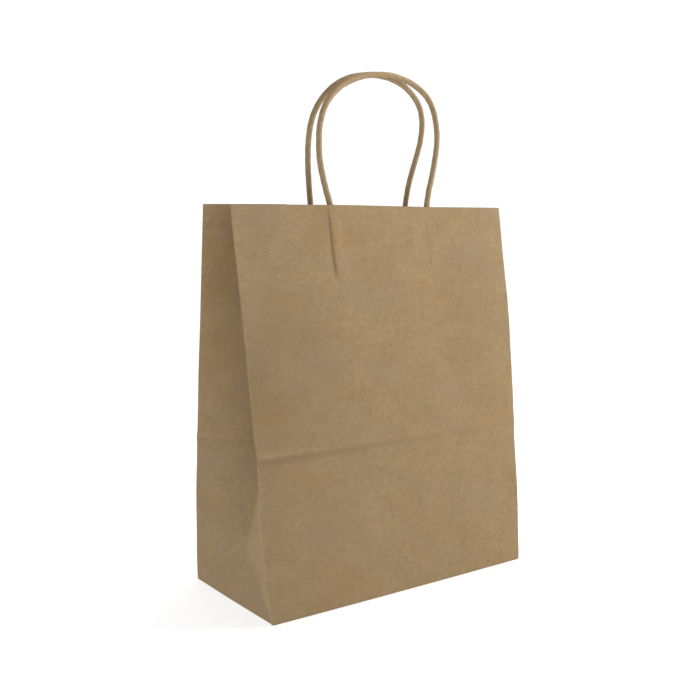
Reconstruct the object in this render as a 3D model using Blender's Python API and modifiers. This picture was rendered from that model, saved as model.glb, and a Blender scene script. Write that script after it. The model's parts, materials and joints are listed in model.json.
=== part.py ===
"""Kraft paper gift bag with twisted-paper handles, standing open on its base.

The bag is one creased sheet, glued into a tube and folded into a flat bottom. Each panel
between two creases is its own object, and so is each strip, cord and flap glued to it.
Metres, +Z up, origin at the middle of the base, front panel facing -Y.
"""

import math

import bpy
from mathutils import Matrix, Vector

# Driving dimensions: a 10 x 5 x 12 inch carrier.
WIDTH = 0.254
DEPTH = 0.127
PANEL_LENGTH = 0.3048
LOWER_LENGTH = 0.1226  # the folded base leaves its crease this far up every panel
LOWER_LEAN = math.radians(6.56)  # the front and back lean in from the base
UPPER_LEAN = math.radians(8.30)  # and a little more above the crease
PAPER = 0.0004
GAP = 0.0003
FLOOR_CLEAR = 0.0001  # the sides stop this far above the floor; the outer bottom flap lies on it

# The gusset's foot: its triangle tips inwards to the point where the side creases meet.
FOOT_HEIGHT = 0.047
FOOT_INWARD = 0.017
EDGE_INSET = 0.0030  # a gusset stops this short of the front or back panel's edge
CREASE_INSET = 0.0008  # and this short of its own creases
FOOT_TIP_SHARE = 0.96  # the triangle's own sheet ends this far up the foot
FOOT_TAPER = 0.6  # the gap beside the triangle closes up by this much towards its point
HALVES_START = 0.007  # the gusset's halves start this far up, where they are wide enough to hold

# Bottom flaps, folded in one over the other.
FLAP_INSET = 0.0016
FLAP_LAP = 0.012
TUCK_LENGTH = 0.050

# The glued edge of the tube, inside the back panel.
SEAM_WIDTH = 0.017
SEAM_INSET = 0.005
SEAM_START_LAYERS = 4  # it starts above the three layers of the base

# Handles: a twisted-paper cord glued between two strips inside the front or back panel.
CORD = 0.0044
STRIP_HALF_WIDTH = 0.070
STRIP_HEIGHT = 0.055
STRIP_BELOW_RIM = 0.001
LEG_LENGTH = 0.052
RIDGE_SIDES = 8
AXIS_ABOVE_RIM = 0.008
LOOP_HEIGHT = 0.0963
STRAIGHT = 0.002  # each end of a bend runs straight for this far
TOPS_APART = CORD + 0.0004
ROUTE_STEP = 0.007

# Where each cord crosses the rim (x), then its loop: x and height above the swing line, in mm.
FRONT_FEET = (-0.0415, 0.0525)
BACK_FEET = (-0.0343, 0.0606)
FRONT_LOOP_MM = (
    (-44.6, 7.0), (-46.8, 25.3), (-45.7, 41.1), (-43.2, 53.3), (-36.9, 67.4), (-25.7, 79.7),
    (-12.9, 87.8), (4.4, 94.1), (22.0, 96.3), (34.0, 95.9), (49.8, 92.0), (63.0, 83.8),
    (69.7, 72.3), (71.5, 57.1), (69.9, 43.9), (65.5, 28.9), (59.6, 13.1), (57.0, 7.0),
)
BACK_LOOP_MM = (
    (-36.8, 7.0), (-39.6, 26.0), (-40.6, 44.0), (-38.6, 60.0), (-31.8, 74.0), (-20.6, 85.2),
    (-6.8, 92.4), (11.4, 96.1), (22.0, 96.3), (34.0, 94.8), (47.0, 90.6), (58.4, 83.2),
    (66.2, 74.0), (69.9, 62.0), (69.8, 48.0), (67.2, 35.0), (63.4, 18.8), (61.6, 7.0),
)

# Worked out from the driving dimensions.
HALF_WIDTH = WIDTH / 2
HALF_DEPTH = DEPTH / 2
LAYER = PAPER + GAP
UPPER_LENGTH = PANEL_LENGTH - LOWER_LENGTH
CREASE_Z = LOWER_LENGTH * math.cos(LOWER_LEAN)
CREASE_HALF = HALF_DEPTH - LOWER_LENGTH * math.sin(LOWER_LEAN)
RIM_Z = CREASE_Z + UPPER_LENGTH * math.cos(UPPER_LEAN)
RIM_HALF = CREASE_HALF - UPPER_LENGTH * math.sin(UPPER_LEAN)
STRIP_Y = PAPER / 2 + GAP  # how far inside the panel's middle the first glued strip starts
COVER_Y = STRIP_Y + LAYER + PAPER / 2
CORD_Y = STRIP_Y + LAYER + CORD / 2


def clear_scene():
    for item in list(bpy.data.objects):
        bpy.data.objects.remove(item, do_unlink=True)


def new_material(name, colour, roughness):
    material = bpy.data.materials.new(name)
    material.use_nodes = True
    shader = material.node_tree.nodes["Principled BSDF"]
    shader.inputs["Base Color"].default_value = (*colour, 1)
    shader.inputs["Roughness"].default_value = roughness
    shader.inputs["Metallic"].default_value = 0
    return material


def finish(item, colour, parent=None):
    """Puts an object in the bag's collection, with a material of its own, under its parent empty."""
    bag.objects.link(item)
    item.data.materials.append(new_material(item.name, colour, 0.85))
    if parent:
        item.parent = parent
    return item


def new_empty(name, matrix):
    empty = bpy.data.objects.new(name, None)
    empty.matrix_world = matrix
    bag.objects.link(empty)
    return empty


def sheet(name, rows, colour, parent=None):
    """A piece of paper: its rows of points are the middle of the sheet, thickened both ways."""
    mesh = bpy.data.meshes.new(name)
    across = len(rows[0])
    points = [point for row in rows for point in row]
    faces = [
        (i * across + j, i * across + j + 1, (i + 1) * across + j + 1, (i + 1) * across + j)
        for i in range(len(rows) - 1)
        for j in range(across - 1)
    ]
    mesh.from_pydata(points, [], faces)
    item = bpy.data.objects.new(name, mesh)
    solidify = item.modifiers.new("paper", "SOLIDIFY")
    solidify.thickness = PAPER
    solidify.offset = 0
    return finish(item, colour, parent)


def outline_sheet(name, corners, layer):
    """A flat piece of paper with straight edges, lying on this many layers of the base."""
    curve = bpy.data.curves.new(name, "CURVE")
    curve.dimensions = "2D"
    curve.fill_mode = "BOTH"
    curve.extrude = PAPER / 2
    spline = curve.splines.new("POLY")
    spline.points.add(len(corners) - 1)
    for point, corner in zip(spline.points, corners):
        point.co = (*corner, 0, 1)
    spline.use_cyclic_u = True
    item = bpy.data.objects.new(name, curve)
    item.location.z = layer * LAYER + PAPER / 2
    finish(item, INSIDE_PAPER)


def tube(name, points, colour, parent=None, origin=(0, 0, 0)):
    """A round cord along points, which are in the same frame as origin."""
    curve = bpy.data.curves.new(name, "CURVE")
    curve.dimensions = "3D"
    curve.bevel_depth = CORD / 2
    curve.bevel_resolution = 3
    curve.use_fill_caps = True
    spline = curve.splines.new("POLY")
    spline.points.add(len(points) - 1)
    for place, point in zip(spline.points, points):
        place.co = (*(Vector(point) - Vector(origin)), 1)
    item = bpy.data.objects.new(name, curve)
    item.location = origin
    return finish(item, colour, parent)


def smooth_route(points, step):
    """Points about step apart on a Catmull-Rom curve through points."""
    ends = [2 * points[0] - points[1], *points, 2 * points[-1] - points[-2]]
    route = []
    for a, b, c, d in zip(ends, ends[1:], ends[2:], ends[3:]):
        parts = max(1, round((c - b).length / step))
        for k in range(parts):
            t = k / parts
            route.append(
                0.5 * (2 * b + (c - a) * t + (2 * a - 5 * b + 4 * c - d) * t**2
                       + (3 * b - a - 3 * c + d) * t**3)
            )
    return [*route, points[-1]]


def lower_edge(z):
    """How far the front or back panel stands from the middle, at a height below the crease."""
    return HALF_DEPTH - z * math.tan(LOWER_LEAN)


def upper_edge(z):
    return CREASE_HALF - (z - CREASE_Z) * math.tan(UPPER_LEAN)


def folded_in(half):
    """How far a gusset's middle crease is drawn in where the panels are 2 * half apart."""
    return math.sqrt(HALF_DEPTH**2 - half**2)


CREASE_INWARD = folded_in(CREASE_HALF)
RIM_INWARD = folded_in(RIM_HALF)


def gusset_middle(z):
    """How far in the gusset's middle crease is, at a height above the foot's point."""
    if z < CREASE_Z:
        t = (z - FOOT_HEIGHT) / (CREASE_Z - FOOT_HEIGHT)
        return FOOT_INWARD + t * (CREASE_INWARD - FOOT_INWARD)
    t = (z - CREASE_Z) / (RIM_Z - CREASE_Z)
    return CREASE_INWARD + t * (RIM_INWARD - CREASE_INWARD)


def cut_row(start, end, start_inset, end_inset):
    """The straight line from start to end, shortened at both ends."""
    along = (end - start).normalized()
    return [start + along * start_inset, end - along * end_inset]


def gusset_half(name, side, face, heights, edge):
    """One half of a gusset. side is -1 or 1 along X, and face is -1 for the front, 1 for the back."""
    rows = []
    for z in heights:
        start = Vector((side * HALF_WIDTH, face * edge(z), z))
        if z < FOOT_HEIGHT:
            share = z / FOOT_HEIGHT
            end = Vector((side * (HALF_WIDTH - FOOT_INWARD * share), face * HALF_DEPTH * (1 - share), z))
        else:
            end = Vector((side * (HALF_WIDTH - gusset_middle(z)), 0, z))
        inset = min(EDGE_INSET, (end - start).length / 3)
        rows.append(cut_row(start, end, inset, CREASE_INSET))
    sheet(name, rows, GUSSET_PAPER)


def spaced(start, end, count):
    return [start + (end - start) * k / count for k in range(count + 1)]


def make_gusset(side, word):
    """A whole gusset: its foot, its two lower halves and its two upper halves."""
    foot_rows = []
    for share in spaced(FLOOR_CLEAR / FOOT_HEIGHT, FOOT_TIP_SHARE, 2):
        x = side * (HALF_WIDTH - FOOT_INWARD * share)
        half = HALF_DEPTH * (1 - share) - CREASE_INSET * 2 * (1 - share * FOOT_TAPER)
        z = FOOT_HEIGHT * share
        foot_rows.append([Vector((x, -half, z)), Vector((x, half, z))])
    sheet(f"{word}_gusset_foot", foot_rows, GUSSET_PAPER)
    above_foot = spaced(FOOT_HEIGHT, CREASE_Z - GAP / 2, 3)
    low = [HALVES_START, FOOT_HEIGHT / 2, *above_foot]
    high = spaced(CREASE_Z + GAP / 2, RIM_Z, 4)
    for face, face_word in ((-1, "front"), (1, "back")):
        gusset_half(f"{word}_gusset_lower_{face_word}", side, face, low, lower_edge)
        gusset_half(f"{word}_gusset_upper_{face_word}", side, face, high, upper_edge)


def make_lower_panel(name, face, colour):
    """The front or back panel below the crease."""
    rows = []
    for z in (FLOOR_CLEAR, CREASE_Z - GAP / 2):
        y = face * (lower_edge(z) - PAPER / 2)
        rows.append([Vector((-HALF_WIDTH, y, z)), Vector((HALF_WIDTH, y, z))])
    sheet(name, rows, colour)


def make_bottom():
    """Four flaps: the front one is outermost, then the back one, then a tuck from each gusset."""
    x = HALF_WIDTH - FLAP_INSET
    y = HALF_DEPTH - FLAP_INSET
    outline_sheet("bottom_flap_front", [(-x, -y), (x, -y), (x, FLAP_LAP), (-x, FLAP_LAP)], 0)
    outline_sheet("bottom_flap_back", [(-x, -FLAP_LAP), (x, -FLAP_LAP), (x, y), (-x, y)], 1)
    inner = x - TUCK_LENGTH
    narrow = y - TUCK_LENGTH
    for side, word in ((-1, "left"), (1, "right")):
        corners = [(side * x, -y), (side * x, y), (side * inner, narrow), (side * inner, -narrow)]
        outline_sheet(f"bottom_tuck_{word}", corners, 2)


def wall_matrix(face):
    """The frame of an upper panel: origin on its crease, X along it, Y into the bag, Z up the panel."""
    turn = Matrix.Rotation(math.pi if face > 0 else 0, 4, "Z")
    place = Matrix.Translation((0, face * (CREASE_HALF - PAPER / 2), CREASE_Z))
    return place @ turn @ Matrix.Rotation(-UPPER_LEAN, 4, "X")


def flat_rows(x0, x1, y, z0, z1):
    return [[Vector((x0, y, z)), Vector((x1, y, z))] for z in (z0, z1)]


def cover_section(feet):
    """The cover strip across its width: flat, with a half-round ridge over each cord."""
    reach = CORD / 2 + GAP + PAPER / 2
    middle = sum(feet) / 2
    section = [(middle - STRIP_HALF_WIDTH, COVER_Y)]
    for foot in feet:
        section.append((foot - 2 * reach, COVER_Y))
        for k in range(RIDGE_SIDES + 1):
            angle = math.pi * (1 - k / RIDGE_SIDES)
            y = max(COVER_Y, CORD_Y + reach * math.sin(angle))
            section.append((foot + reach * math.cos(angle), y))
        section.append((foot + 2 * reach, COVER_Y))
    section.append((middle + STRIP_HALF_WIDTH, COVER_Y))
    return section


def make_wall(face, word, feet, loop_mm, colours):
    """An upper panel, the strips and cord glued to it, and the handle's bends and loop."""
    paper, cord = colours
    matrix = wall_matrix(face)
    wall = new_empty(f"{word}_wall_fold", matrix)
    sheet(
        f"{word}_panel_upper",
        flat_rows(-HALF_WIDTH, HALF_WIDTH, 0, GAP / 2, UPPER_LENGTH),
        paper,
        wall,
    )
    local_feet = sorted(-face * foot for foot in feet)
    middle = sum(local_feet) / 2
    top = UPPER_LENGTH - STRIP_BELOW_RIM
    sheet(
        f"{word}_handle_backing",
        flat_rows(
            middle - STRIP_HALF_WIDTH,
            middle + STRIP_HALF_WIDTH,
            STRIP_Y + PAPER / 2,
            top - STRIP_HEIGHT,
            top,
        ),
        paper,
        wall,
    )
    cover = [
        [Vector((x, y, z)) for x, y in cover_section(local_feet)]
        for z in (top - STRIP_HEIGHT, top)
    ]
    sheet(f"{word}_handle_cover", cover, paper, wall)

    axis = matrix @ Vector((0, CORD_Y, UPPER_LENGTH + AXIS_ABOVE_RIM))
    lean = math.asin((abs(axis.y) - TOPS_APART / 2) / LOOP_HEIGHT)
    loop_plane = Matrix.Translation(axis) @ Matrix.Rotation(face * lean, 4, "X")
    loop = [loop_plane @ Vector((x / 1000, 0, h / 1000)) for x, h in loop_mm]
    loop = smooth_route(loop, ROUTE_STEP)
    tube(f"{word}_handle_loop", loop, cord, origin=axis)
    up = matrix.to_3x3() @ Vector((0, 0, STRAIGHT))
    for index, end_word in ((0, "left"), (-1, "right")):
        x = -face * feet[index]
        leg = [Vector((x, CORD_Y, UPPER_LENGTH - depth)) for depth in (LEG_LENGTH, GAP)]
        tube(f"{word}_cord_leg_{end_word}", leg, cord, wall)
        foot = matrix @ Vector((x, CORD_Y, UPPER_LENGTH))
        along = (loop[index] - loop[1 if index == 0 else -2]).normalized()
        last = loop[index] + along * GAP
        bend = [foot, foot + up, last + along * STRAIGHT, last]
        tube(f"{word}_cord_bend_{end_word}", bend, cord, origin=axis)


def make_seam():
    """The turned edge that closes the tube, glued inside the back panel along its right side."""
    outer = HALF_WIDTH - SEAM_INSET
    inner = outer - SEAM_WIDTH
    rows = []
    for z in (SEAM_START_LAYERS * LAYER, CREASE_Z - GAP / 2):
        y = lower_edge(z) - (STRIP_Y + PAPER) / math.cos(LOWER_LEAN)
        rows.append([Vector((inner, y, z)), Vector((outer, y, z))])
    sheet("seam_tab_lower", rows, INSIDE_PAPER)
    wall = bag.objects["back_wall_fold"]
    y = STRIP_Y + PAPER / 2
    rows = flat_rows(-outer, -inner, y, GAP * 2, UPPER_LENGTH)
    sheet("seam_tab_upper", rows, INSIDE_PAPER, wall)


clear_scene()
bag = bpy.data.collections.new("gift_bag")
bpy.context.scene.collection.children.link(bag)

FRONT_PAPER = (0.392, 0.287, 0.168)
BACK_PAPER = (0.350, 0.256, 0.150)
INSIDE_PAPER = (0.300, 0.215, 0.124)
GUSSET_PAPER = (0.240, 0.170, 0.097)
FRONT_CORD = (0.350, 0.250, 0.140)
BACK_CORD = (0.320, 0.228, 0.128)

make_bottom()
make_lower_panel("front_panel_lower", -1, FRONT_PAPER)
make_lower_panel("back_panel_lower", 1, BACK_PAPER)
make_gusset(-1, "left")
make_gusset(1, "right")
make_wall(-1, "front", FRONT_FEET, FRONT_LOOP_MM, (FRONT_PAPER, FRONT_CORD))
make_wall(1, "back", BACK_FEET, BACK_LOOP_MM, (BACK_PAPER, BACK_CORD))
make_seam()
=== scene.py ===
"""Looks of the kraft gift bag: paper skins, twisted cords, materials, floor, lights and camera."""

import json
import math

import bpy
import numpy as np
from mathutils import Matrix, Vector


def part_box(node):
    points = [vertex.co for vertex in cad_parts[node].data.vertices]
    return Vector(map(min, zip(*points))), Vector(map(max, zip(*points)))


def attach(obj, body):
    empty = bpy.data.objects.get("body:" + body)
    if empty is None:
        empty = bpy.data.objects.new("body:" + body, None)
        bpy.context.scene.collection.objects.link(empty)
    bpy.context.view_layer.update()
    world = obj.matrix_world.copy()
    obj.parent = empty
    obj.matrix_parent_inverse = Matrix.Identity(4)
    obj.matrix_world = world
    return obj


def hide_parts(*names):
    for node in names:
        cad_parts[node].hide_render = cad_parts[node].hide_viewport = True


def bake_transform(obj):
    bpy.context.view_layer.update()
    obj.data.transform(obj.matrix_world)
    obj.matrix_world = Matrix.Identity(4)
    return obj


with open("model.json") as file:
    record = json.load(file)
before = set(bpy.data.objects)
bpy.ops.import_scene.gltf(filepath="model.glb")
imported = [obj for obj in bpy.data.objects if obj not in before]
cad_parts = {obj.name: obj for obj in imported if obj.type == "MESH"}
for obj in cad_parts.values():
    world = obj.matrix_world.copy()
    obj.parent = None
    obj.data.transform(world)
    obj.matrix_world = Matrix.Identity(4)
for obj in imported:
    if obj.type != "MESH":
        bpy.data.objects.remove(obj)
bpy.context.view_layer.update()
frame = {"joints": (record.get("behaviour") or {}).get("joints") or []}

# ---------------------------------------------------------------- sizes, from the frame
joints = {joint["name"]: joint for joint in frame["joints"]}
crease_at = joints["front_wall_fold"]["pos_m"]
swing_at = joints["front_handle_swing"]["pos_m"]
lower_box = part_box("front_panel_lower")
upper_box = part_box("front_panel_upper")
cord_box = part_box("front_cord_leg_left")

PAPER = 0.0003  # thickness of a skin
HALF_W = upper_box[1][0]
HALF_D = -lower_box[0][1] - PAPER / 2
CREASE_Y = -crease_at[1]
CREASE_Z = crease_at[2]
RIM_Z = upper_box[1][2]
RIM_Y = -upper_box[1][1] + PAPER / 2
LOWER = math.hypot(HALF_D - CREASE_Y, CREASE_Z)
UPPER = math.hypot(CREASE_Y - RIM_Y, RIM_Z - CREASE_Z)
TOTAL = LOWER + UPPER
LEAN = math.atan2(HALF_D - RIM_Y, RIM_Z)
UPPER_LEAN = math.atan2(CREASE_Y - RIM_Y, RIM_Z - CREASE_Z)
HALF_FOLD = HALF_D  # the score half way up the folded base
CORD = cord_box[1][0] - cord_box[0][0]
CORD_IN = 0.0012 + CORD / 2  # the cord's middle, inside the panel's middle and the backing strip
LOOP_HEIGHT = 0.0963  # from the swing line to the top of a loop
CORD_GAP = 0.0004  # between the two cords where they lean together

# The gusset's foot tips in to the point where its creases meet.
FOOT_S = 0.0473
FOOT_IN = 0.017
CREASE_IN = math.sqrt(HALF_D**2 - CREASE_Y**2)
RIM_IN = math.sqrt(HALF_D**2 - RIM_Y**2)
FULL_TO = TOTAL - 0.064  # the panels' fuller part ends here, below the handles' strips
TURN = 0.0011  # a fold is rounded over this much paper on each side
TURN_Q = TURN / HALF_D
TURN_STEPS = (0.2, 0.4, 0.6, 0.8, 1.0)
TURN_UNDER = 0.0017  # the base's rounded edge runs this far under it
UNDER_ROWS = 4
LAP = 0.003  # an upper gusset reaches this far behind the lower one
BACK_CORNER_IN = 0.0040  # the base's back left corner is pulled in this far
CORNER_IN = {-1: 0.0026, 1: 0.0032}  # the other corners of each side draw in this far
RIM_STEP = 0.0008  # the rim is this far out of level at the left, down in front and up behind
UNDER = PAPER / 2 + 0.0001  # height of the lowest sheet's middle

# Where each cord crosses the rim (x), then its loop: x and height above the swing line, in mm.
FEET = {-1: (-0.0415, 0.0525), 1: (-0.0343, 0.0606)}
LOOPS_MM = {
    -1: (
        (-44.6, 7.0), (-46.8, 25.3), (-45.7, 41.1), (-43.2, 53.3), (-36.9, 67.4), (-25.7, 79.7),
        (-12.9, 87.8), (4.4, 94.1), (22.0, 96.3), (34.0, 95.9), (49.8, 92.0), (63.0, 83.8),
        (69.7, 72.3), (71.5, 57.1), (69.9, 43.9), (65.5, 28.9), (59.6, 13.1), (57.0, 7.0),
    ),
    1: (
        (-36.8, 7.0), (-39.6, 26.0), (-40.6, 44.0), (-38.6, 60.0), (-31.8, 74.0), (-20.6, 85.2),
        (-6.8, 92.4), (11.4, 96.1), (22.0, 96.3), (34.0, 94.8), (47.0, 90.6), (58.4, 83.2),
        (66.2, 74.0), (69.9, 62.0), (69.8, 48.0), (67.2, 35.0), (63.4, 18.8), (61.6, 7.0),
    ),
}
LEG = 0.052
CORD_SIDES = 20
PLY_PITCH = 0.026  # the cord's strip of paper goes once round in this length
STRIP_HALF_W = 0.070
STRIP_H = 0.055
STRIP = 0.0002  # thickness of a strip, a flap or the seam's edge
# How far inside the panel's middle these lie.
SEAM_IN = 0.0006
BACKING_IN = 0.0007
COVER_IN = 0.0014
BASE_X = HALF_W - 0.0052
BASE_Y = HALF_D - 0.0022
FLAP_LAP = 0.012  # the bottom flaps reach this far past the middle
FLAP_STEP = 0.00045  # from one bottom layer to the next
TUCK = 0.050
WORD = {-1: "front", 1: "back"}
SIDE_WORD = {-1: "left", 1: "right"}

# ---------------------------------------------------------------- colours, lights and camera
PAPER_COLOUR = (0.310, 0.219, 0.116)
CORD_COLOUR = (0.345, 0.245, 0.136)
# Parts of a paper's colour, as shares of its red, green and blue.
DARK_PULP = (0.94, 0.94, 0.94)
LIGHT_PULP = (1.06, 1.06, 1.06)
RUSTY_PULP = (1.04, 0.93, 0.76)
GREY_PULP = (0.96, 0.99, 1.14)
PALE_FIBRE = (1.36, 1.40, 1.5)
BROWN_FIBRE = (0.62, 0.60, 0.60)
SPECK = (0.32, 0.26, 0.24)
# Paler tone for scuffed folds and painted highlights, and a darker one for painted shade.
SCUFF_AND_HIGHLIGHT = (2.0, 2.0, 2.0)
PAINTED_SHADE_TONE = (0.35, 0.35, 0.35)
# Dark specks of three sizes: cells in a metre, radius, and the share of cells that have one.
SPECKS = ((34.0, 0.00068, 0.8), (80.0, 0.00042, 0.4), (170.0, 0.00025, 0.6))

AHEAD = (0.15, 0.99, 0)  # the studio is dim behind and above the camera, which looks this way
STUDIO_COLOUR = (0.975, 0.99, 1.02, 1)
STUDIO_BRIGHT = 1.08
STUDIO_DIM = 0.06
KEY_AT = (0.54, -0.26, 0.70)
KEY_TO = (0.03, -0.04, 0.20)
KEY_SIZE = 0.28
KEY_POWER = 5.15
KEY_COLOUR = (1.0, 0.95, 0.87)
FLOOR_COLOUR = (0.66, 0.66, 0.66, 1)
FLOOR_GLOW = 0.61
CAMERA_AT = (-0.4329, -0.6101, 0.2690)
CAMERA_TURN = (34.638, 10.178, -0.491)  # degrees: azimuth, downward pitch, roll
LENS_MM = 46.95
SENSOR_MM = 36
LENS_SHIFT = 0.09


# ---------------------------------------------------------------- small helpers
def smoothstep(a, b, v):
    t = np.clip((v - a) / (b - a), 0, 1)
    return t * t * (3 - 2 * t)


def ridge(t, width):
    """A fold line's section: a rounded peak of height 1 that dies away over width."""
    soft = 0.0004
    return np.exp(-(np.sqrt(t * t + soft * soft) - soft) / width)


def bump(t, width):
    return np.exp(-((t / width) ** 2))


def waves(u, v, seed, shortest, longest, count=9):
    """Smooth unevenness between -1 and 1 or so, made of plane waves."""
    rng = np.random.default_rng(seed)
    total = np.zeros(np.broadcast(u, v).shape)
    for _ in range(count):
        length = shortest * (longest / shortest) ** rng.random()
        angle = rng.random() * 2 * math.pi
        phase = rng.random() * 2 * math.pi
        k = 2 * math.pi / length
        total = total + np.sin(k * (u * math.cos(angle) + v * math.sin(angle)) + phase)
    return total / math.sqrt(count)


def lines(start, end, step, fine=(), fine_step=0.0006, reach=0.0024):
    """Values from start to end, about step apart, and closer together round each value of fine."""
    values = [start]
    while values[-1] < end - 1e-9:
        near = min((abs(values[-1] - f) for f in fine), default=1)
        ahead = min((f - values[-1] for f in fine if f > values[-1] + 1e-9), default=1)
        size = fine_step if near < reach - 1e-9 or ahead < reach else step
        if size == step and ahead - reach < step:
            size = max(fine_step, ahead - reach)
        values.append(min(end, values[-1] + size))
    if len(values) > 2 and values[-1] - values[-2] < fine_step / 2:
        values.pop(-2)
    return np.array(values)


# ---------------------------------------------------------------- meshes
def new_object(name, points, faces, wear_and_painted_light, place):
    """A mesh with two values at each point: how much paler or darker it is painted, and its place
    on the flat paper in metres.
    """
    mesh = bpy.data.meshes.new(name)
    mesh.from_pydata(points.tolist(), [], faces)
    marks_and_painted_light = mesh.attributes.new("wear_and_painted_light", "FLOAT", "POINT")
    marks_and_painted_light.data.foreach_set("value", np.asarray(wear_and_painted_light, np.float32).ravel())
    on_paper = mesh.attributes.new("paper", "FLOAT_VECTOR", "POINT")
    on_paper.data.foreach_set("vector", np.asarray(place, np.float32).ravel())
    mesh.shade_smooth()
    item = bpy.data.objects.new(name, mesh)
    bpy.context.scene.collection.objects.link(item)
    return item


def grid_normals(points):
    across = np.gradient(points, axis=1)
    up = np.gradient(points, axis=0)
    normal = np.cross(across, up)
    length = np.linalg.norm(normal, axis=2, keepdims=True)
    return normal / np.maximum(length, 1e-12)


def flat_places(points, part):
    """Where each point of a grid lies on the paper laid flat. Every part has a place of its own."""
    across = np.linalg.norm(np.diff(points, axis=1), axis=2)
    up = np.linalg.norm(np.diff(points, axis=0), axis=2)
    u = np.concatenate([np.zeros((len(points), 1)), np.cumsum(across, axis=1)], 1)
    v = np.concatenate([[0], np.cumsum(up.mean(axis=1))])[:, None] + np.zeros(u.shape)
    u = u - u[:, -1:] / 2 + part * 0.4
    return np.stack([u, v, np.zeros(u.shape)], -1)


def paper(name, points, wear_and_painted_light, material, part, thickness=PAPER, out=1):
    """A closed thin sheet whose middle is the grid of points. out is 1 where rows up and columns
    across give an outward normal, and -1 where they give an inward one."""
    rows, columns = points.shape[:2]
    normal = grid_normals(points) * out
    outer = points + normal * thickness / 2
    inner = points - normal * thickness / 2
    size = rows * columns
    index = np.arange(size).reshape(rows, columns)
    a, b = index[:-1, :-1].ravel(), index[:-1, 1:].ravel()
    c, d = index[1:, 1:].ravel(), index[1:, :-1].ravel()
    outer_faces = np.stack([a, b, c, d] if out > 0 else [a, d, c, b], 1)
    inner_faces = outer_faces[:, ::-1] + size
    rim = np.concatenate([index[0, :-1], index[:-1, -1], index[-1, :0:-1], index[:0:-1, 0]])
    after = np.roll(rim, -1)
    rim_faces = np.stack([rim, rim + size, after + size, after], 1)
    if out < 0:
        rim_faces = rim_faces[:, ::-1]
    faces = np.concatenate([outer_faces, inner_faces, rim_faces]).tolist()
    both = np.concatenate([outer.reshape(-1, 3), inner.reshape(-1, 3)])
    place = flat_places(points, part).reshape(-1, 3)
    item = new_object(name, both, faces, [wear_and_painted_light, wear_and_painted_light], [place, place + (0, 0.9, 0)])
    item.data.set_sharp_from_angle(angle=math.radians(60))
    item.data.materials.append(material)
    return item


# ---------------------------------------------------------------- the shape of the paper
def leg_line(foot, s):
    """The line that a glued cord presses into the panel. It hooks to the right at its lower end."""
    end = TOTAL - LEG - 0.007
    above_end = np.clip((s - end) / 0.010, 0, 1)
    return foot - 0.0028 - 0.0016 * (s - end) / LEG + 0.0070 * (1 - above_end) ** 2


def leg_share(s):
    """1 beside a glued leg, and 0 below its end."""
    return smoothstep(TOTAL - LEG - 0.008, TOTAL - LEG + 0.003, s)


def relief(face, x, s):
    """How far the front or back paper stands out from its flat panels."""
    seed = 11 if face < 0 else 37
    # Broad unevenness of the sheet, and fine cockling. Both are calm at the base.
    calm = smoothstep(0.0, 0.018, s)
    out = 0.00040 * waves(x, s, seed, 0.055, 0.16) * calm
    out = out + 0.00007 * waves(x, s, seed + 1, 0.010, 0.028, 14) * calm
    left = smoothstep(0.02, -HALF_W, x)
    right = smoothstep(0.02, HALF_W, x)
    # The folded base once lay against the panel: its edge left one strong line and one weak one.
    out = out + (0.00040 + 0.00060 * left + 0.0002 * right) * ridge(s - LOWER, 0.0036)
    out = out + 0.00012 * ridge(s - HALF_FOLD, 0.005) * (0.4 + right)
    # The base's long edges bow out a little.
    out = out + 0.0010 * (1 - (x / HALF_W) ** 2) * smoothstep(0.04, 0.0, s)
    # The mouth stands open a little more at the right, where the panel is also fuller.
    upward = np.clip((s - LOWER) / UPPER, 0, 1)
    if face < 0:
        out = out - 0.0028 * smoothstep(-0.05, -HALF_W, x) * upward
    else:
        out = out - 0.0012 * smoothstep(-0.05, -HALF_W, x) * bump(s - 0.048, 0.030)
        at_base = np.clip(1 - s / 0.08, 0, 1) ** 2
        out = out - BACK_CORNER_IN * smoothstep(-0.05, -HALF_W, x) * at_base
    fuller = 0.0036 * upward + 0.0038 * bump(s - 0.195, 0.062)
    out = out + fuller * smoothstep(0.045, HALF_W, x)
    # Both panels are a little fuller in the middle, from the base up to the glued strips.
    full = np.sin(math.pi * np.clip(s / FULL_TO, 0, 1)) ** 2
    out = out + 0.004 * (1 - (x / HALF_W) ** 2) * full
    if face < 0:
        # The glued legs press through: the left one strongly, and the right one barely.
        for foot, height in zip(FEET[face], (0.0010, 0.0002)):
            t = x - leg_line(foot, s)
            flank = smoothstep(-0.0008, 0.0014, t) * smoothstep(0.0125, 0.0035, t)
            at_rim = 0.35 + 0.65 * smoothstep(TOTAL - 0.002, TOTAL - 0.018, s)
            out = out + height * flank * leg_share(s) * at_rim
    return out


def drawn_in(side, s):
    """How far the corners of the base draw in sideways, at s up the paper."""
    return CORNER_IN[side] * np.clip(1 - s / 0.06, 0, 1) ** 2


def wall(face, x, s, inset=0.0):
    """Points of the front (face -1) or back (1) sheet: x across, s up the paper from its base."""
    x, s = np.broadcast_arrays(np.asarray(x, float), np.asarray(s, float))
    up = s > LOWER
    share = np.where(up, (s - LOWER) / UPPER, s / LOWER)
    y = np.where(up, CREASE_Y + (RIM_Y - CREASE_Y) * share, HALF_D + (CREASE_Y - HALF_D) * share)
    z = np.where(up, CREASE_Z + (RIM_Z - CREASE_Z) * share, CREASE_Z * share)
    out = relief(face, x, s) - inset
    left_in = drawn_in(-1, s) * (0.2 if face > 0 else 1.0)
    inwards = np.where(x < 0, left_in, drawn_in(1, s)) * (x / HALF_W) ** 2
    across = x - np.sign(x) * inwards
    # The rim isn't cut quite level: at the left, the front is lower than the back.
    rise = face * RIM_STEP * smoothstep(-0.02, -HALF_W, x) * s / TOTAL
    height = z + out * math.sin(LEAN) + rise
    return np.stack([across, face * (y + out * math.cos(LEAN)), height], -1)


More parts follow.
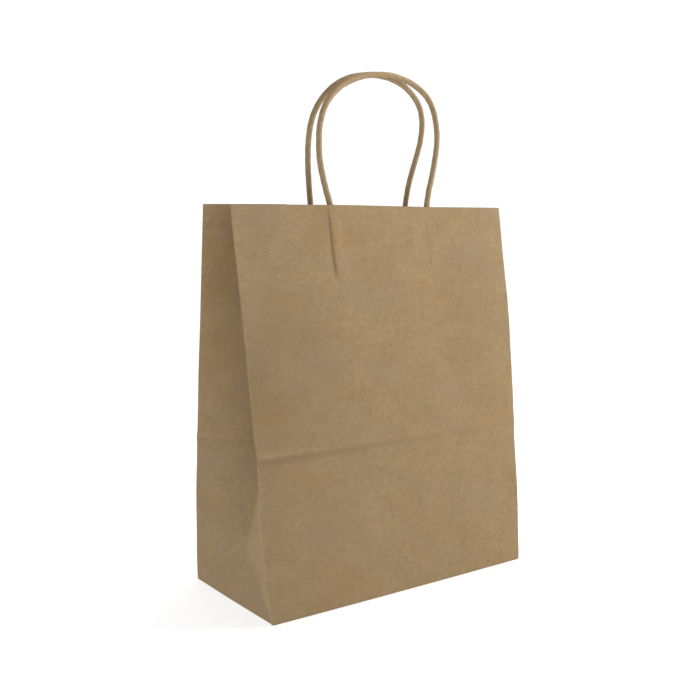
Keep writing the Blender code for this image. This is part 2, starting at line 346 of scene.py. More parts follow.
def wall_wear_and_painted_light(face, x, s):
    """How much paler (up to 1) or darker (down to -1) the paper is painted: scuffed folds and
    painted highlights make it paler, painted shade makes it darker.
    """
    x, s = np.broadcast_arrays(x, s)
    left = smoothstep(0.03, -HALF_W, x)
    # Painted highlight and shade: the crease is pale above, where its ridge faces the light, and
    # dark below, where it faces away. The score half way up the fold gets only a painted dark line
    # of shade.
    marks_and_painted_light = (0.15 + 0.75 * left**2) * bump(s - LOWER - 0.0018, 0.0022)
    marks_and_painted_light = marks_and_painted_light - (0.35 + 0.20 * left) * bump(s - LOWER + 0.0028, 0.0028)
    marks_and_painted_light = marks_and_painted_light - 0.15 * bump(s - LOWER, 0.0005)
    marks_and_painted_light = marks_and_painted_light - (0.10 + 0.20 * smoothstep(0, HALF_W, x)) * bump(s - HALF_FOLD, 0.0008)
    # The side folds and the rim are paler: partly scuffed, partly a painted highlight where the
    # rounded fold catches the light. The base's edge is darkened with a painted contact shadow.
    marks_and_painted_light = marks_and_painted_light + 0.3 * bump(HALF_W - np.abs(x), 0.0013)
    marks_and_painted_light = marks_and_painted_light + 0.3 * bump(TOTAL - s, 0.0006)
    marks_and_painted_light = marks_and_painted_light - 0.6 * bump(s - 0.0005, 0.0008)
    if face < 0:
        # Painted shade: the sheet is darker towards its left edge, below the strips, where the
        # light falls off across the panel.
        left_painted_shade = 0.35 + 0.20 * smoothstep(LOWER - 0.02, LOWER + 0.04, s)
        below_strips = smoothstep(TOTAL - 0.02, TOTAL - 0.11, s)
        marks_and_painted_light = marks_and_painted_light - left_painted_shade * smoothstep(0.02, -HALF_W, x) * below_strips
        # Painted shade along the left leg: a dark line where the steep flank of its ridge faces
        # away from the light, a faint one at the far edge of its press, and a soft smudge of shade
        # in the hollow by the rim.
        foot = FEET[face][0]
        t = x - leg_line(foot, s)
        along = leg_share(s) * smoothstep(TOTAL, TOTAL - 0.018, s)
        marks_and_painted_light = marks_and_painted_light - 0.75 * bump(t, 0.0007) * along
        marks_and_painted_light = marks_and_painted_light - 0.20 * bump(t - 0.0085, 0.0006) * along
        marks_and_painted_light = marks_and_painted_light - 0.25 * bump(t + 0.0005, 0.0028) * smoothstep(TOTAL - 0.016, TOTAL - 0.004, s)
    return np.clip(marks_and_painted_light, -1, 1)


def gusset_in(s):
    """How far in the gusset's middle is, at s up the paper."""
    foot = FOOT_IN * s / FOOT_S
    low = FOOT_IN + (CREASE_IN - FOOT_IN) * (s - FOOT_S) / (LOWER - FOOT_S)
    high = CREASE_IN + (RIM_IN - CREASE_IN) * (s - LOWER) / UPPER
    return np.where(s < FOOT_S, foot, np.where(s < LOWER, low, high))


def middle_line(side, s):
    """Where the gusset's middle crease is across the bag, at s up the paper."""
    return side * (HALF_W - gusset_in(s) - 0.4 * drawn_in(side, s))


def gusset(side, face, q, s, inset=0.0):
    """Points of half a gusset: q from 0 at the panel's edge to 1 at the middle crease.

    Below FOOT_S a diagonal crease parts the foot from the rest, at q equal to share.
    """
    q, s = np.broadcast_arrays(np.asarray(q, float), np.asarray(s, float))
    edge = wall(face, np.full(s.shape, side * HALF_W), s)
    opposite = wall(-face, np.full(s.shape, side * HALF_W), s)
    middle_z = (edge[..., 2] + opposite[..., 2]) / 2
    middle = np.stack([middle_line(side, s), np.zeros(s.shape), middle_z], -1)
    share = np.clip(s / FOOT_S, 1e-6, 1)
    base = wall(face, side * HALF_W, 0.0)
    shift = base[0] - middle_line(side, 0.0)
    corner_x = middle[..., 0] + shift * (1 - share)
    corner = np.stack([corner_x, base[1] * (1 - share), edge[..., 2]], -1)
    first = np.clip(q / share, 0, 1)[..., None]
    second = np.clip((q - share) / np.maximum(1 - share, 1e-6), 0, 1)[..., None]
    point = edge + (corner - edge) * first
    point = point + (middle - corner) * second * (q > share)[..., None]
    row = middle - edge
    flat = np.stack([-row[..., 1], row[..., 0], np.zeros(s.shape)], -1) * side * face
    outward = flat / np.maximum(np.linalg.norm(flat, axis=-1, keepdims=True), 1e-9)
    u = face * (1 - q) * HALF_D
    inside = smoothstep(0, 0.12, q) * smoothstep(1, 0.88, q)
    calm = smoothstep(0.0, 0.02, s) * inside
    out = 0.0016 * np.sin(math.pi * q) * smoothstep(FOOT_S * 0.5, LOWER, s)
    out = out + 0.00035 * waves(u, s, 71 + side, 0.04, 0.11) * calm
    out = out + 0.00005 * waves(u, s, 75 + side, 0.010, 0.026, 12) * calm
    out = out + 0.00028 * ridge(s - LOWER, 0.0036) * inside
    out = out + 0.00018 * ridge(s - HALF_FOLD, 0.004) * inside * (face > 0)
    diagonal = (q * FOOT_S - s) * math.sqrt(0.5)
    out = out + 0.00030 * ridge(diagonal, 0.004) * (s < FOOT_S * 1.2) * calm
    return point + outward * (out - inset)[..., None]


def gusset_wear_and_painted_light(q, s, face):
    """How much paler or darker half a gusset is painted, on the same scale as
    wall_wear_and_painted_light.
    """
    q, s = np.broadcast_arrays(q, s)
    # Painted highlight above the crease and painted shade below it and at the score. The fold edges
    # and the rim are paler: partly scuffed, partly a painted highlight.
    marks_and_painted_light = 0.35 * bump(s - LOWER - 0.0012, 0.0012) - 0.4 * bump(s - LOWER + 0.0014, 0.0012)
    marks_and_painted_light = marks_and_painted_light - 0.25 * bump(s - HALF_FOLD, 0.0009)
    marks_and_painted_light = marks_and_painted_light + 0.15 * bump((1 - q) * HALF_D, 0.0012)
    marks_and_painted_light = marks_and_painted_light + 0.35 * bump(q * HALF_D, 0.0017)
    marks_and_painted_light = marks_and_painted_light + 0.3 * bump(TOTAL - s, 0.0006)
    # Painted highlight: the foot's diagonal crease shows as a pale line, more so at the back.
    diagonal = bump((q * FOOT_S - s) * math.sqrt(0.5), 0.0011) * (s < FOOT_S)
    marks_and_painted_light = marks_and_painted_light + (0.8 if face > 0 else 0.1) * diagonal
    # Painted light: the gusset is lighter beside its edge at the panel and towards its mouth,
    # lifting the shade of its deep recess.
    marks_and_painted_light = marks_and_painted_light + 0.45 * smoothstep(0.40, 0.0, q) * smoothstep(FOOT_S, LOWER, s)
    marks_and_painted_light = marks_and_painted_light + 0.55 * smoothstep(TOTAL - 0.07, TOTAL - 0.01, s)
    return np.clip(marks_and_painted_light, -1, 1)


def edge_turn(face, side, s):
    """The rounded fold from a panel onto the gusset beside it, as columns going outwards."""
    begin = wall(face, np.full(s.shape, side * (HALF_W - TURN)), s)
    corner = wall(face, np.full(s.shape, side * HALF_W), s)
    end = gusset(side, face, np.full(s.shape, TURN_Q), s)
    return [
        begin * (1 - t) ** 2 + corner * 2 * t * (1 - t) + end * t**2 for t in TURN_STEPS
    ]


def turned_under(points, toward):
    """Rows added below a lower skin's first row: the paper rounds off and runs under the base."""
    inward = np.array(toward, float)
    corner = points[0]
    end = corner + inward * TURN_UNDER
    end[:, 2] = UNDER
    begin = points[1]
    extra = [end]
    for t in (0.75, 0.5, 0.25):
        row = begin * (1 - t) ** 2 + corner * 2 * t * (1 - t) + end * t**2
        row[:, 2] = np.maximum(row[:, 2], PAPER / 2)
        extra.append(row)
    return np.concatenate([np.stack(extra), points[1:]])


low_rows = lines(0.0, LOWER, 0.0026, (0.0, HALF_FOLD, LOWER))
low_rows[1] = max(low_rows[1], 0.0009)
high_rows = lines(LOWER, TOTAL, 0.0026, (LOWER, TOTAL))


def bend_at_crease(item):
    """Bakes a sheet's placing into its points; the sheet keeps the shape it was built with at the
    crease line.
    """
    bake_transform(item)


def panel_skin(face, name, material):
    """The front or back of the bag, in one sheet from its base to its rim."""
    rows = np.concatenate([low_rows, high_rows[1:]])
    xs = lines(-HALF_W + TURN, HALF_W - TURN, 0.0028, FEET[face], 0.0008, 0.0072)
    s = rows[:, None]
    x = xs[None, :]
    body = wall(face, x, s)
    marks_and_painted_light = wall_wear_and_painted_light(face, x, s)
    left = edge_turn(face, -1, rows)
    right = edge_turn(face, 1, rows)
    points = np.concatenate([np.stack(left[::-1], 1), body, np.stack(right, 1)], 1)
    # The rounded side folds are paler: partly scuffed, partly a painted highlight.
    folded = np.broadcast_to(0.3, (len(rows), len(left)))
    marks_and_painted_light = np.concatenate([folded, marks_and_painted_light, folded], 1)
    points = turned_under(points, (0, -face, 0))
    marks_and_painted_light = np.concatenate([np.full((UNDER_ROWS, marks_and_painted_light.shape[1]), 0.4), marks_and_painted_light[1:]])
    item = paper(name, points, marks_and_painted_light, material, (1 + face) // 2, out=-face)
    bend_at_crease(item)
    return item


def half_columns():
    """Places across half a gusset, closer together at its edge and at its middle crease."""
    return lines(TURN_Q, 1.0, 0.042, (TURN_Q, 1.0), 0.010, 0.03)


def lower_gusset_skin(side, name, material):
    """Both halves of a gusset below the crease line, with its foot."""
    q = half_columns()
    s = low_rows[:, None]
    front = gusset(side, -1, q[None, :], s)
    back = gusset(side, 1, q[None, :], s)
    points = np.concatenate([front, back[:, -2::-1]], 1)
    worn_front = gusset_wear_and_painted_light(q[None, :], s, -1)
    worn_back = gusset_wear_and_painted_light(q[None, :], s, 1)
    marks_and_painted_light = np.concatenate([worn_front, worn_back[:, -2::-1]], 1)
    # The middle crease is rounded.
    middle = len(q) - 1
    points[:, middle] = (points[:, middle - 1] + 2 * points[:, middle] + points[:, middle + 1]) / 4
    points = turned_under(points, (-side, 0, 0))
    marks_and_painted_light = np.concatenate([np.full((UNDER_ROWS, marks_and_painted_light.shape[1]), 0.4), marks_and_painted_light[1:]])
    return paper(name, points, marks_and_painted_light, material, 3 + side, out=side)


def upper_gusset_skin(side, face, name, material):
    """Half a gusset above the crease line, starting a little below it, behind the lower gusset."""
    q = half_columns()
    rows = np.concatenate([[LOWER - LAP], high_rows])
    inset = np.where(rows < LOWER, 0.0006, 0.0)[:, None]
    points = gusset(side, face, q[None, :], rows[:, None], inset)
    marks_and_painted_light = gusset_wear_and_painted_light(q[None, :], rows[:, None], face)
    item = paper(name, points, marks_and_painted_light, material, 6 + side + face / 2, out=-side * face)
    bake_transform(item)
    return item


# ---------------------------------------------------------------- cords
def wall_frame(face):
    """(origin on the crease, up the panel, into the bag) of an upper panel."""
    up = Vector((0, -face * math.sin(UPPER_LEAN), math.cos(UPPER_LEAN)))
    inward = Vector((0, -face * math.cos(UPPER_LEAN), -math.sin(UPPER_LEAN)))
    return Vector((0, face * CREASE_Y, CREASE_Z)), up, inward


def loop_frame(face):
    """(point on the swing line, up the loop) of a handle."""
    axis = Vector((0, face * abs(swing_at[1]), swing_at[2]))
    lean = math.asin((abs(axis.y) - (CORD + CORD_GAP) / 2) / LOOP_HEIGHT)
    return axis, Vector((0, -face * math.sin(lean), math.cos(lean)))


def smooth_route(points, step):
    """Points about step apart on a Catmull-Rom curve through points."""
    ends = [2 * points[0] - points[1], *points, 2 * points[-1] - points[-2]]
    route = []
    for a, b, c, d in zip(ends, ends[1:], ends[2:], ends[3:]):
        parts = max(1, round((c - b).length / step))
        for k in range(parts):
            t = k / parts
            square = (2 * a - 5 * b + 4 * c - d) * t**2
            cube = (3 * b - a - 3 * c + d) * t**3
            route.append(0.5 * (2 * b + (c - a) * t + square + cube))
    return [*route, points[-1]]


def cord_route(face):
    """The middle of the whole cord, from one glued end over the loop to the other."""
    origin, up, inward = wall_frame(face)
    axis, loop_up = loop_frame(face)
    legs = []
    for foot in FEET[face]:
        base = origin + Vector((foot, 0, 0)) + inward * CORD_IN
        heights = [UPPER - LEG, UPPER - LEG * 0.66, UPPER - LEG * 0.33, UPPER - 0.006, UPPER]
        legs.append([base + up * height for height in heights])
    loop = [axis + Vector((x / 1000, 0, 0)) + loop_up * (h / 1000) for x, h in LOOPS_MM[face]]
    return smooth_route([*legs[0], *loop, *legs[1][::-1]], 0.0011)


def cord_rings(route):
    """The points of the cord's surface, ring by ring: a paper strip twisted on itself."""
    path = np.array([tuple(p) for p in route])
    tangent = np.gradient(path, axis=0)
    tangent /= np.linalg.norm(tangent, axis=1, keepdims=True)
    length = np.concatenate([[0], np.cumsum(np.linalg.norm(np.diff(path, axis=0), axis=1))])
    side = np.cross(tangent[0], (0, 1.0, 0))
    side /= np.linalg.norm(side)
    angle = np.linspace(0, 2 * math.pi, CORD_SIDES, endpoint=False)
    rng = np.random.default_rng(5)
    lump_step = 0.006
    lump_places = np.arange(0, length[-1] + 0.02, lump_step)
    lump_sizes = rng.normal(0, 0.012, int((length[-1] + 0.02) / lump_step) + 1)
    lumps = np.interp(length, lump_places, lump_sizes)
    rings = []
    groove_shades = []
    for k, place in enumerate(path):
        side = side - tangent[k] * (side @ tangent[k])
        side /= np.linalg.norm(side)
        other = np.cross(tangent[k], side)
        turn = 2 * math.pi * length[k] / PLY_PITCH
        ply = np.abs(np.sin(1.5 * (angle - turn)))
        fine = np.abs(np.sin(4.5 * (angle - turn) + 0.7))
        radius = CORD / 2 * (1.0 + 0.055 * ply**0.6 + 0.010 * fine + lumps[k])
        beside = np.outer(radius * np.cos(angle), side)
        around = np.outer(radius * np.sin(angle), other)
        rings.append(place + beside + around)
        # Painted shade: the cord is darker in the grooves between its plies.
        groove_shades.append(ply**0.5 - 1)
    return np.array(rings), np.array(groove_shades), length, path


def cord_piece(name, rings, groove_shades, lengths, material):
    """A closed tube through rings, capped at both ends."""
    count = len(rings)
    index = np.arange(count * CORD_SIDES).reshape(count, CORD_SIDES)
    a, b = index[:-1], np.roll(index[:-1], -1, axis=1)
    c, d = np.roll(index[1:], -1, axis=1), index[1:]
    faces = np.stack([a, b, c, d], -1).reshape(-1, 4).tolist()
    faces.append(index[0, ::-1].tolist())
    faces.append(index[-1].tolist())
    round_it = np.linspace(0, math.pi * CORD, CORD_SIDES, endpoint=False)
    u, v = np.broadcast_arrays(round_it[None, :], lengths[:, None])
    item = new_object(name, rings.reshape(-1, 3), faces, groove_shades, np.stack([u, v, u * 0], -1))
    item.data.set_sharp_from_angle(angle=math.radians(60))
    item.data.materials.append(material)
    return item


def make_handle(face, material):
    """The cord of one handle: a leg at each end, glued to the panel, and the loop between them."""
    word = WORD[face]
    rings, groove_shades, lengths, path = cord_rings(cord_route(face))
    axis, loop_up = loop_frame(face)
    height = (path - np.array(axis)) @ np.array(loop_up)
    over = np.flatnonzero(height > -0.0005)
    first, last = over[0], over[-1]
    for end_word, part in (("left", slice(0, first + 1)), ("right", slice(last, None))):
        name = f"{word}_cord_{end_word}_end"
        leg = cord_piece(name, rings[part], groove_shades[part], lengths[part], material)
        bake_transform(leg)
        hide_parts(f"{word}_cord_leg_{end_word}", f"{word}_cord_bend_{end_word}")
    part = slice(first, last + 1)
    loop = cord_piece(f"{word}_cord_loop", rings[part], groove_shades[part], lengths[part], material)
    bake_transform(loop)
    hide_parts(f"{word}_handle_loop")


# ---------------------------------------------------------------- glued strips and seam
def strip_skin(face, layer, name, material):
    """The backing strip (layer 0) or the cover strip (1) that holds a handle's cord."""
    feet = FEET[face]
    middle = sum(feet) / 2
    xs = lines(middle - STRIP_HALF_W, middle + STRIP_HALF_W, 0.004, feet, 0.0005, 0.0052)
    rows = np.linspace(TOTAL - 0.001 - STRIP_H, TOTAL - 0.001, 24)
    x, s = np.broadcast_arrays(xs[None, :], rows[:, None])
    if layer == 0:
        inset = np.full(x.shape, BACKING_IN)
        inset = inset + 0.00015 * waves(x, s, 91 + face, 0.02, 0.06)
    else:
        inset = np.full(x.shape, COVER_IN)
        reach = CORD / 2 + 0.0004
        for foot in feet:
            away = np.abs(x - foot)
            round_over = CORD_IN + np.sqrt(np.maximum(reach**2 - away**2, 0))
            skirt = CORD_IN * smoothstep(reach * 2.1, reach * 0.97, away)
            ridge_height = np.where(away < reach, round_over, skirt)
            present = smoothstep(TOTAL - LEG - 0.006, TOTAL - LEG + 0.001, s)
            inset = np.maximum(inset, ridge_height * present)
        inset = inset + 0.00012 * waves(x, s, 95 + face, 0.012, 0.04)
    points = wall(face, x, s, inset)
    marks_and_painted_light = 0.5 * bump(rows[-1] - s, 0.0008) + 0.3 * bump(s - rows[0], 0.0008)
    item = paper(name, points, marks_and_painted_light, material, 9 + layer + face / 4, thickness=STRIP, out=-face)
    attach(item, f"{WORD[face]}_wall")
    return item


def seam_skin(name, material):
    """The turned edge that closes the sheet into a tube, inside the back panel."""
    rows = np.concatenate([low_rows[low_rows > 0.004], high_rows[1:]])
    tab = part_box("seam_tab_upper")
    xs = np.linspace(tab[0][0], tab[1][0], 8)
    x, s = np.broadcast_arrays(xs[None, :], rows[:, None])
    points = wall(1, x, s, np.full(x.shape, SEAM_IN))
    marks_and_painted_light = 0.5 * bump(x - xs[0], 0.0012)
    item = paper(name, points, marks_and_painted_light, material, 12, thickness=STRIP, out=-1)
    bend_at_crease(item)
    return item


def bottom_skin(name, corners, layer, part, material):
    """A bottom flap, from its four corners: two outer ones and then the two inner ones in line."""
    near_left, near_right, far_left, far_right = (np.array(c) for c in corners)
    t = np.linspace(0, 1, 40)[None, :, None]
    r = np.linspace(0, 1, 24)[:, None, None]
    near = near_left * (1 - t) + near_right * t
    far = far_left * (1 - t) + far_right * t
    flat = near * (1 - r) + far * r
    height = UNDER + layer * FLAP_STEP + np.zeros(flat.shape[:2] + (1,))
    points = np.concatenate([flat, height], -1)
    u, v = flat[..., 0], flat[..., 1]
    points[..., 2] += 0.00006 * (1 + waves(u, v, 131 + layer, 0.02, 0.08)) * (layer > 0)
    return paper(name, points, np.zeros(u.shape), material, part, thickness=STRIP)


# ---------------------------------------------------------------- materials
class Nodes:
    """A small helper that adds shader nodes and links them."""

    def __init__(self, tree):
        self.tree = tree

    def add(self, kind, inputs=None, **settings):
        node = self.tree.nodes.new(kind)
        for key, value in settings.items():
            setattr(node, key, value)
        for key, value in (inputs or {}).items():
            if isinstance(value, bpy.types.NodeSocket):
                self.tree.links.new(value, node.inputs[key])
            else:
                node.inputs[key].default_value = value
        return node

    def math(self, operation, a, b=0.0):
        return self.add("ShaderNodeMath", {0: a, 1: b}, operation=operation).outputs[0]

    def vector(self, operation, inputs):
        return self.add("ShaderNodeVectorMath", inputs, operation=operation)

    def noise(self, vector, scale, detail=3.0, roughness=0.5):
        inputs = {"Vector": vector, "Scale": scale, "Detail": detail, "Roughness": roughness}
        return self.add("ShaderNodeTexNoise", inputs).outputs["Fac"]

    def stretch(self, vector, scale, turn=(0, 0, 0)):
        node = self.add("ShaderNodeMapping", {"Vector": vector, "Scale": scale, "Rotation": turn})
        return node.outputs["Vector"]

    def band(self, value, low, high, to_low=0.0, to_high=1.0):
        """A smooth step from to_low at low to to_high at high."""
        inputs = {"Value": value, "From Min": low, "From Max": high}
        inputs.update({"To Min": to_low, "To Max": to_high})
        return self.add("ShaderNodeMapRange", inputs, interpolation_type="SMOOTHSTEP").outputs[0]

    def scale(self, colour, factor):
        """A colour times a grey level."""
        grey = self.add("ShaderNodeCombineColor", {0: factor, 1: factor, 2: factor}).outputs[0]
        return self.mix(1.0, colour, grey, "MULTIPLY")

    def bent(self, vector, scale, amount):
        """A vector moved about by fine noise, so that round spots come out ragged."""
        noise = self.add("ShaderNodeTexNoise", {"Vector": vector, "Scale": scale, "Detail": 1.0})
        centred = self.vector("SUBTRACT", {0: noise.outputs["Color"], 1: (0.5, 0.5, 0.5)})
        moved = self.vector("SCALE", {0: centred.outputs[0], "Scale": amount})
        return self.vector("ADD", {0: vector, 1: moved.outputs[0]}).outputs[0]

    def mix(self, factor, a, b, blend="MIX"):
        node = self.add("ShaderNodeMix", data_type="RGBA", blend_type=blend)
        for socket, value in ((0, factor), (6, a), (7, b)):
            if isinstance(value, bpy.types.NodeSocket):
                self.tree.links.new(value, node.inputs[socket])
            else:
                node.inputs[socket].default_value = value
        return node.outputs[2]


def tinted(colour, tint):
    """A colour with its red, green and blue each taken times a share."""
    return (*[c * share for c, share in zip(colour, tint)], 1)


def kraft(name, slot, colour, speck=1.0, scuff_and_highlight_strength=0.20, painted_shade_strength=0.40):
    """Uncoated brown kraft paper: cloudy pulp, fine fibres, dark specks, folds made paler by
    scuffing and painted highlights, and creases and pressed lines darkened with painted shade.
    """
    material = bpy.data.materials.new(name)
    material.use_nodes = True
    material["slot"] = slot
    nodes = Nodes(material.node_tree)
    shader = material.node_tree.nodes["Principled BSDF"]
    at = nodes.add("ShaderNodeAttribute", attribute_name="paper").outputs["Vector"]
    wear_and_painted_light = nodes.add("ShaderNodeAttribute", attribute_name="wear_and_painted_light").outputs["Fac"]
    scuff_and_highlight_share = nodes.band(wear_and_painted_light, 0.0, 1.0)
    painted_shade_share = nodes.band(wear_and_painted_light, 0.0, -1.0)

    clouds = nodes.noise(at, 45.0, 4.0, 0.6)
    pulp = nodes.noise(at, 210.0, 3.0, 0.6)
    tooth = nodes.noise(at, 1100.0, 2.0, 0.6)
    up_fibre = nodes.noise(nodes.stretch(at, (1700, 260, 1)), 1.0, 2.0, 0.55)
    cross_fibre = nodes.noise(nodes.stretch(at, (230, 1500, 1)), 1.0, 2.0, 0.55)
    slant_fibre = nodes.noise(nodes.stretch(at, (1300, 240, 1), (0, 0, 0.7)), 1.0, 2.0, 0.55)

    dark = tinted(colour, DARK_PULP)
    light = tinted(colour, LIGHT_PULP)
    paint = nodes.mix(nodes.band(clouds, 0.25, 0.75), dark, light)
    paint = nodes.scale(paint, nodes.band(pulp, 0.25, 0.75, 0.915, 1.085))
    # Reddish-brown clouds of bark-rich pulp, and greyer ones.
    bark = nodes.noise(nodes.stretch(at, (14.0, 24.0, 1)), 1.0, 5.0, 0.6)
    rusty = nodes.band(bark, 0.50, 0.74, 0.0, 0.75)
    paint = nodes.mix(rusty, paint, tinted(colour, RUSTY_PULP))
    grey = nodes.band(bark, 0.48, 0.28, 0.0, 0.8)
    paint = nodes.mix(grey, paint, tinted(colour, GREY_PULP))
    # Pale and dark fibres.
    pale = nodes.band(up_fibre, 0.56, 0.72, 0.0, 0.20)
    paint = nodes.mix(pale, paint, tinted(colour, PALE_FIBRE))
    for strands in (cross_fibre, slant_fibre):
        brown = nodes.band(strands, 0.57, 0.74, 0.0, 0.26)
        paint = nodes.mix(brown, paint, tinted(colour, BROWN_FIBRE))
    paint = nodes.scale(paint, nodes.band(tooth, 0.3, 0.7, 0.93, 1.07))
    # Each cell of a pattern has a random colour, which picks whether it has a speck, and how dark.
    for per_metre, radius, share in SPECKS:
        inputs = {"Vector": nodes.bent(at, 900.0, 0.0005), "Scale": per_metre, "Randomness": 1.0}
        cells = nodes.add("ShaderNodeTexVoronoi", inputs, voronoi_dimensions="2D")
        chance = nodes.add("ShaderNodeSeparateColor", {0: cells.outputs["Color"]})
        size = radius * per_metre
        spot = nodes.band(cells.outputs["Distance"], size, size * 0.45)
        shown = nodes.math("LESS_THAN", chance.outputs[0], share)
        depth = nodes.band(chance.outputs[1], 0.0, 1.0, 0.3 * speck, 0.95 * speck)
        strength = nodes.math("MULTIPLY", nodes.math("MULTIPLY", spot, shown), depth)
        paint = nodes.mix(strength, paint, tinted(colour, SPECK))
    # Folds and cut edges are made paler, partly scuffed and partly a painted highlight, and
    # creases, pressed lines, the base's edge and the cord's grooves are darkened with painted
    # shade.
    scuff_and_highlight = nodes.math("MULTIPLY", scuff_and_highlight_share, nodes.band(pulp, 0.3, 0.7, 0.55, 1.0))
    scuff_and_highlight = nodes.math("MULTIPLY", scuff_and_highlight, scuff_and_highlight_strength)
    paint = nodes.mix(scuff_and_highlight, paint, tinted(colour, SCUFF_AND_HIGHLIGHT))
    painted_shade = nodes.math("MULTIPLY", painted_shade_share, nodes.band(pulp, 0.3, 0.7, 0.6, 1.0))
    painted_shade = nodes.math("MULTIPLY", painted_shade, painted_shade_strength)
    paint = nodes.mix(painted_shade, paint, tinted(colour, PAINTED_SHADE_TONE))
    material.node_tree.links.new(paint, shader.inputs["Base Color"])

    fluff = nodes.math("ADD", pulp, nodes.math("MULTIPLY", scuff_and_highlight_share, 0.3))
    rough = nodes.band(fluff, 0.3, 1.0, 0.80, 0.95)
    material.node_tree.links.new(rough, shader.inputs["Roughness"])
    shader.inputs["Specular IOR Level"].default_value = 0.22

    half_tooth = nodes.math("MULTIPLY", tooth, 0.5)
    half_fibre = nodes.math("MULTIPLY", up_fibre, 0.5)
    height = nodes.math("ADD", half_tooth, half_fibre)
    fine = nodes.add("ShaderNodeBump", {"Height": height, "Strength": 0.25, "Distance": 0.0004})
    cockle = nodes.noise(at, 110.0, 2.0, 0.5)
    inputs = {"Height": cockle, "Strength": 0.14, "Distance": 0.0012, "Normal": fine.outputs[0]}
    broad = nodes.add("ShaderNodeBump", inputs)
    material.node_tree.links.new(broad.outputs[0], shader.inputs["Normal"])
    return material


def light_table():
    """White floor that glows a little, so that the bag's shadow on it stays faint."""
    material = bpy.data.materials.new("floor_white")
    material.use_nodes = True
    shader = material.node_tree.nodes["Principled BSDF"]
    shader.inputs["Base Color"].default_value = FLOOR_COLOUR
    shader.inputs["Roughness"].default_value = 0.9
    shader.inputs["Specular IOR Level"].default_value = 0.1
    shader.inputs["Emission Color"].default_value = (1, 1, 1, 1)
    shader.inputs["Emission Strength"].default_value = FLOOR_GLOW
    return material


def make_world():
    """A white studio, dim above and behind the camera."""
    studio = bpy.data.worlds.new("studio")
    studio.use_nodes = True
    nodes = Nodes(studio.node_tree)
    way = nodes.add("ShaderNodeTexCoord").outputs["Generated"]
    ahead = nodes.vector("DOT_PRODUCT", {0: way, 1: AHEAD})
    behind = nodes.band(ahead.outputs["Value"], 0.30, -0.55)
    height = nodes.add("ShaderNodeSeparateXYZ", {0: way}).outputs[2]
    above = nodes.band(height, 0.24, 0.50)
    shade = nodes.math("MULTIPLY", behind, above)
    level = nodes.band(shade, 0, 1, STUDIO_BRIGHT, STUDIO_DIM)
    background = studio.node_tree.nodes["Background"]
    background.inputs["Color"].default_value = STUDIO_COLOUR
    studio.node_tree.links.new(level, background.inputs["Strength"])
    bpy.context.scene.world = studio


outer_paper = kraft("kraft_sheet", "kraft_paper", PAPER_COLOUR)
strip_paper = kraft("kraft_strip", "kraft_strip", [c * 0.97 for c in PAPER_COLOUR])
cord_paper = kraft("kraft_cord", "twisted_cord", CORD_COLOUR, 0.4, scuff_and_highlight_strength=0.0, painted_shade_strength=0.25)

# ---------------------------------------------------------------- the bag
for face in (-1, 1):
    word = WORD[face]
    panel = panel_skin(face, f"{word}_panel_skin", outer_paper)
    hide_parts(f"{word}_panel_lower", f"{word}_panel_upper")
    for layer, node in ((0, "backing"), (1, "cover")):
        strip = strip_skin(face, layer, f"{word}_{node}_strip", strip_paper)
        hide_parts(f"{word}_handle_{node}")
    make_handle(face, cord_paper)

for side in (-1, 1):
    word = SIDE_WORD[side]
    foot = lower_gusset_skin(side, f"{word}_gusset_lower_skin", outer_paper)
    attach(foot, "base_box")
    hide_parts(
        f"{word}_gusset_foot",
        f"{word}_gusset_lower_front",
        f"{word}_gusset_lower_back",
    )
    for face in (-1, 1):
        half = upper_gusset_skin(side, face, f"{word}_gusset_{WORD[face]}_skin", outer_paper)
        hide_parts(f"{word}_gusset_upper_{WORD[face]}")

seam = seam_skin("seam_skin", strip_paper)
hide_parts("seam_tab_lower", "seam_tab_upper")

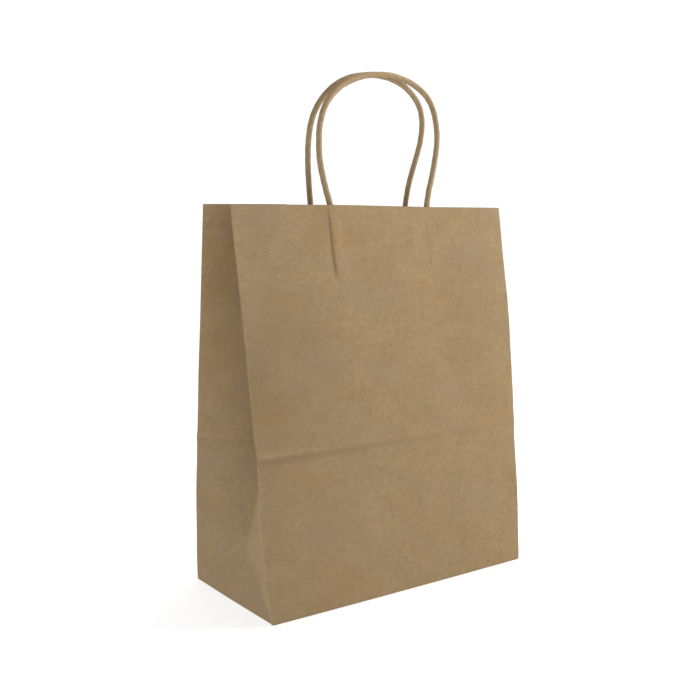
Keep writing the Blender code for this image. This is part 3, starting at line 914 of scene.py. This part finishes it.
for face in (-1, 1):
    lap = -face * FLAP_LAP
    left_y = face * BASE_Y - (BACK_CORNER_IN if face > 0 else 0)
    outer_line = [(-BASE_X, left_y), (BASE_X, face * BASE_Y)]
    inner_line = [(-BASE_X, lap), (BASE_X, lap)]
    corners = inner_line + outer_line if face > 0 else outer_line + inner_line
    layer = (1 + face) // 2
    flap = bottom_skin(f"{WORD[face]}_flap_skin", corners, layer, 14 + face, outer_paper)
    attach(flap, "base_box")
    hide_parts(f"bottom_flap_{WORD[face]}")
for side in (-1, 1):
    inner = BASE_X - TUCK
    narrow = BASE_Y - TUCK
    back_y = BASE_Y - (BACK_CORNER_IN if side < 0 else 0)
    outer_line = [(side * BASE_X, -BASE_Y), (side * BASE_X, back_y)]
    inner_line = [(side * inner, -narrow), (side * inner, narrow)]
    corners = outer_line + inner_line if side > 0 else inner_line + outer_line
    tuck = bottom_skin(f"{SIDE_WORD[side]}_tuck_skin", corners, 2, 17 + side, outer_paper)
    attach(tuck, "base_box")
    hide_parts(f"bottom_tuck_{SIDE_WORD[side]}")


# ---------------------------------------------------------------- floor, lights and camera
def make_floor():
    bpy.ops.mesh.primitive_plane_add(size=200, location=(0, 0, -0.0003))
    floor = bpy.context.object
    floor.name = "floor"
    floor.data.materials.append(light_table())


def make_light(name, place, target, size, energy, colour):
    data = bpy.data.lights.new(name, "AREA")
    data.shape = "DISK"
    data.size = size
    data.energy = energy
    data.color = colour
    light = bpy.data.objects.new(name, data)
    bpy.context.scene.collection.objects.link(light)
    light.location = place
    light.rotation_mode = "QUATERNION"
    light.rotation_quaternion = (Vector(target) - Vector(place)).to_track_quat("-Z", "Y")


def make_camera():
    """The camera stands off the front left corner, a little below the rim."""
    azimuth, pitch, roll = (math.radians(angle) for angle in CAMERA_TURN)
    reach = math.cos(pitch)
    forward = Vector((math.sin(azimuth) * reach, math.cos(azimuth) * reach, -math.sin(pitch)))
    level = Vector((math.cos(azimuth), -math.sin(azimuth), 0))
    above = level.cross(forward)
    right = level * math.cos(roll) + above * math.sin(roll)
    up = above * math.cos(roll) - level * math.sin(roll)
    data = bpy.data.cameras.new("camera")
    data.lens = LENS_MM
    data.sensor_width = SENSOR_MM
    data.shift_y = LENS_SHIFT
    data.clip_start = 0.01
    camera = bpy.data.objects.new("camera", data)
    bpy.context.scene.collection.objects.link(camera)
    turn = Matrix((right, up, -forward)).transposed().to_4x4()
    camera.matrix_world = Matrix.Translation(CAMERA_AT) @ turn
    bpy.context.scene.camera = camera


make_floor()
make_world()
make_light("key", KEY_AT, KEY_TO, KEY_SIZE, KEY_POWER, KEY_COLOUR)
make_camera()
bpy.context.scene.view_settings.view_transform = "Standard"
